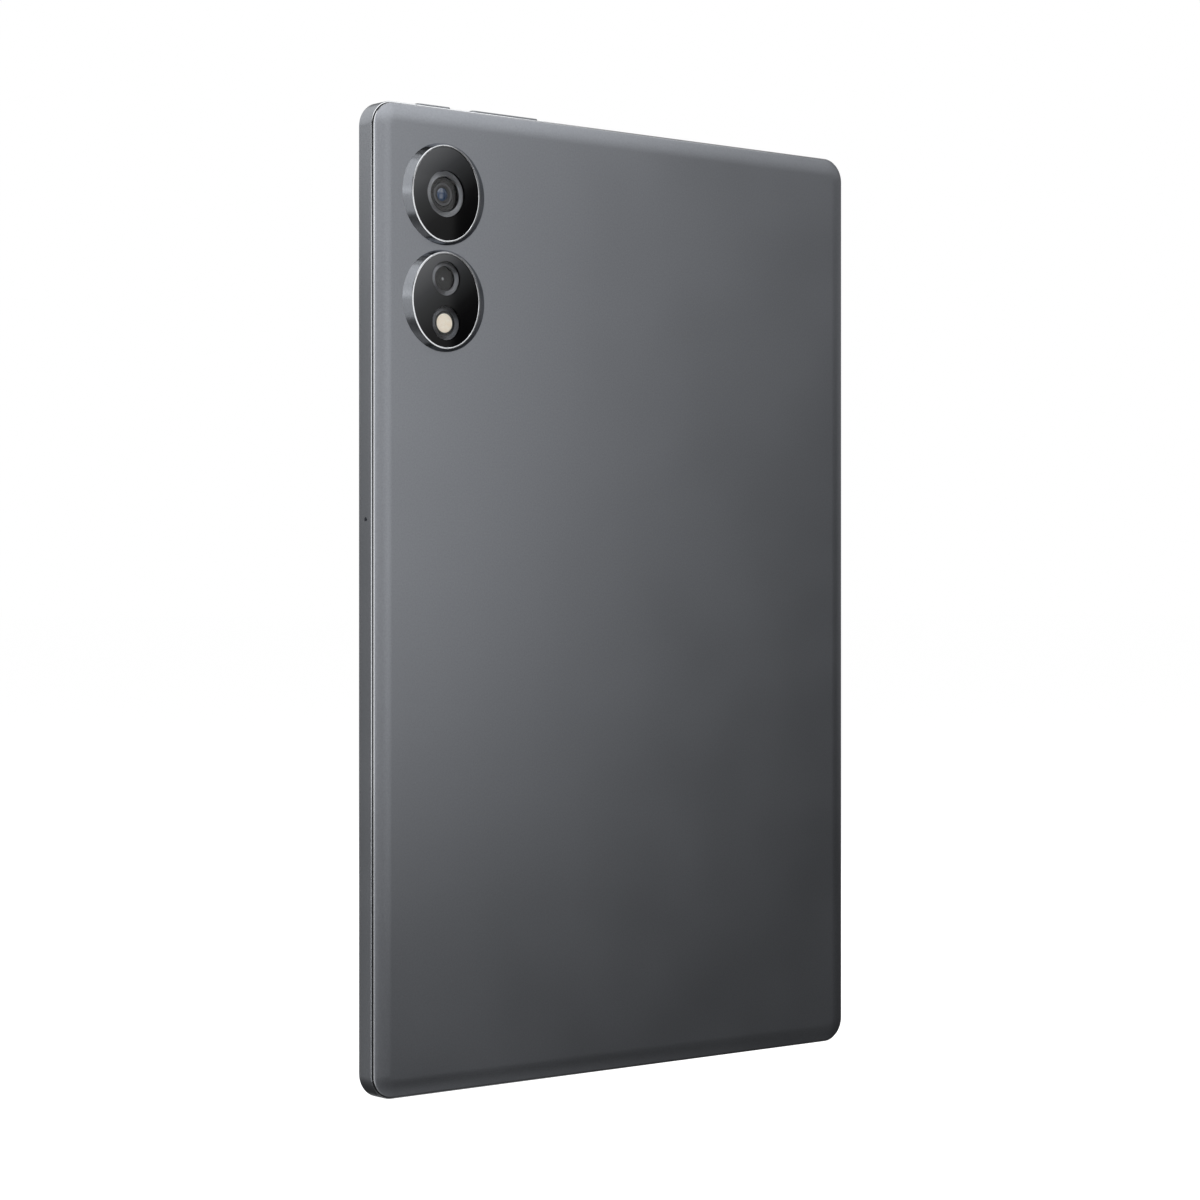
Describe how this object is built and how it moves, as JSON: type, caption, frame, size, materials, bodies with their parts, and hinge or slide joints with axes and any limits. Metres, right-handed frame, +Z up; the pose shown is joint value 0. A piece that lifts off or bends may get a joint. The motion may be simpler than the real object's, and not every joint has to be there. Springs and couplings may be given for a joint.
{
  "type": "tablet computer",
  "caption": "Slim tablet computer with a satin metal frame and back, round raised camera rings, side keys, a card tray and a glass screen.",
  "frame": {"origin": "middle of the width and of the whole thickness, camera rings included, on the plane of the lower short edge", "axes": "+Z up along the long side, +Y out of the back, +X to the right seen from the screen side"},
  "size_m": [0.1684, 0.0088, 0.2577],
  "materials": {
    "frame_aluminium": "satin, sandblasted and anodised grey",
    "cover_aluminium": "satin, sandblasted and anodised grey",
    "screen_glass": "polished, black when the screen is off",
    "camera_glass": "polished",
    "black_print": "black print under the glass",
    "trim_steel": "turned",
    "lens_glass": "coated",
    "camera_plastic": "matt black",
    "flash_plastic": "warm white",
    "flash_board": "plain",
    "black_tape": "matt black",
    "display_cell": "dark",
    "backlight": "foil",
    "ribbon": "polyimide",
    "stamped_steel": "stamped",
    "shield_steel": "tinned",
    "circuit_board": "solder mask",
    "connector_plastic": "moulded",
    "battery_pouch": "laminated foil pouch",
    "battery_tape": "tape",
    "speaker_plastic": "moulded",
    "mesh_steel": "woven",
    "cable_sheath": "extruded",
    "graphite": "sheet",
    "screw_steel": "machined"
  },
  "bodies": {
    "tablet": {"mid_frame": "frame_aluminium", "rear_cover": "cover_aluminium", "main_camera_ring": "cover_aluminium", "second_camera_ring": "cover_aluminium", "cover_glass": "screen_glass", "main_camera_glass": "camera_glass", "second_camera_glass": "camera_glass", "main_camera_mask": "black_print", "second_camera_mask": "black_print", "main_lens_trim": "trim_steel", "second_lens_trim": "trim_steel", "flash_trim": "trim_steel", "second_front_lens": "lens_glass", "front_camera_lens": "lens_glass", "main_camera_module": "camera_plastic", "second_camera_module": "camera_plastic", "front_camera_module": "camera_plastic", "light_sensor": "camera_plastic", "flash_lens": "flash_plastic", "flash_led": "flash_board", "screen_adhesive": "black_tape", "rear_cover_gasket": "black_tape", "microphone_boot": "black_tape", "lcd_panel": "display_cell", "backlight_unit": "backlight", "display_flex": "ribbon", "side_key_flex": "ribbon", "board_link_flex": "ribbon", "battery_lead": "ribbon", "side_key_domes": "stamped_steel", "side_key_bracket": "stamped_steel", "card_reader": "stamped_steel", "ejector_pivot": "stamped_steel", "usb_c_shell": "stamped_steel", "microphone": "stamped_steel", "processor_shield": "shield_steel", "power_shield": "shield_steel", "main_board": "circuit_board", "usb_board": "circuit_board", "battery_circuit_board": "circuit_board", "board_connectors": "connector_plastic", "usb_c_tongue": "connector_plastic", "battery_left_cell": "battery_pouch", "battery_right_cell": "battery_pouch", "battery_adhesive": "battery_tape", "speaker_top_left": "speaker_plastic", "speaker_top_right": "speaker_plastic", "speaker_bottom_left": "speaker_plastic", "speaker_bottom_right": "speaker_plastic", "speaker_meshes": "mesh_steel", "antenna_coax": "cable_sheath", "heat_spreader": "graphite", "board_screws": "screw_steel"},
    "power_key": {"power_key": "frame_aluminium"},
    "volume_key": {"volume_key": "frame_aluminium"},
    "card_tray": {"card_tray": "frame_aluminium"},
    "ejector_rod": {"ejector_rod": "stamped_steel"},
    "ejector_lever": {"ejector_lever": "stamped_steel"},
    "focus_lens": {"main_lens_barrel": "camera_plastic", "main_front_lens": "lens_glass"}
  },
  "joints": [
    {"name": "power_key_press", "type": "slide", "parent": "tablet", "child": "power_key", "axis": [0, 0, -1], "range_m": [0, 0.0003], "stiffness_N_per_m": 600},
    {"name": "volume_key_rock", "type": "hinge", "parent": "tablet", "child": "volume_key", "pos_m": [0.0393, -0.00095, 0.254], "axis": [0, 1, 0], "range_deg": [-1.5, 1.5], "stiffness_Nm_per_rad": 0.04},
    {"name": "card_tray_slide", "type": "slide", "parent": "tablet", "child": "card_tray", "axis": [0, 0, 1], "range_m": [0, 0.0295]},
    {"name": "ejector_rod_push", "type": "slide", "parent": "tablet", "child": "ejector_rod", "axis": [0, 0, -1], "range_m": [0, 0.0012]},
    {"name": "ejector_lever_turn", "type": "hinge", "parent": "tablet", "child": "ejector_lever", "pos_m": [-0.03665, -0.0003, 0.22601], "axis": [0, 1, 0], "range_deg": [-13.3, 0]},
    {"name": "focus_slide", "type": "slide", "parent": "tablet", "child": "focus_lens", "axis": [0, 1, 0], "range_m": [0, 0.00025], "stiffness_N_per_m": 50}
  ],
  "couplings": [
    {"joint": "ejector_lever_turn", "follows": "ejector_rod_push", "rad_per_m": -192.31}
  ]
}
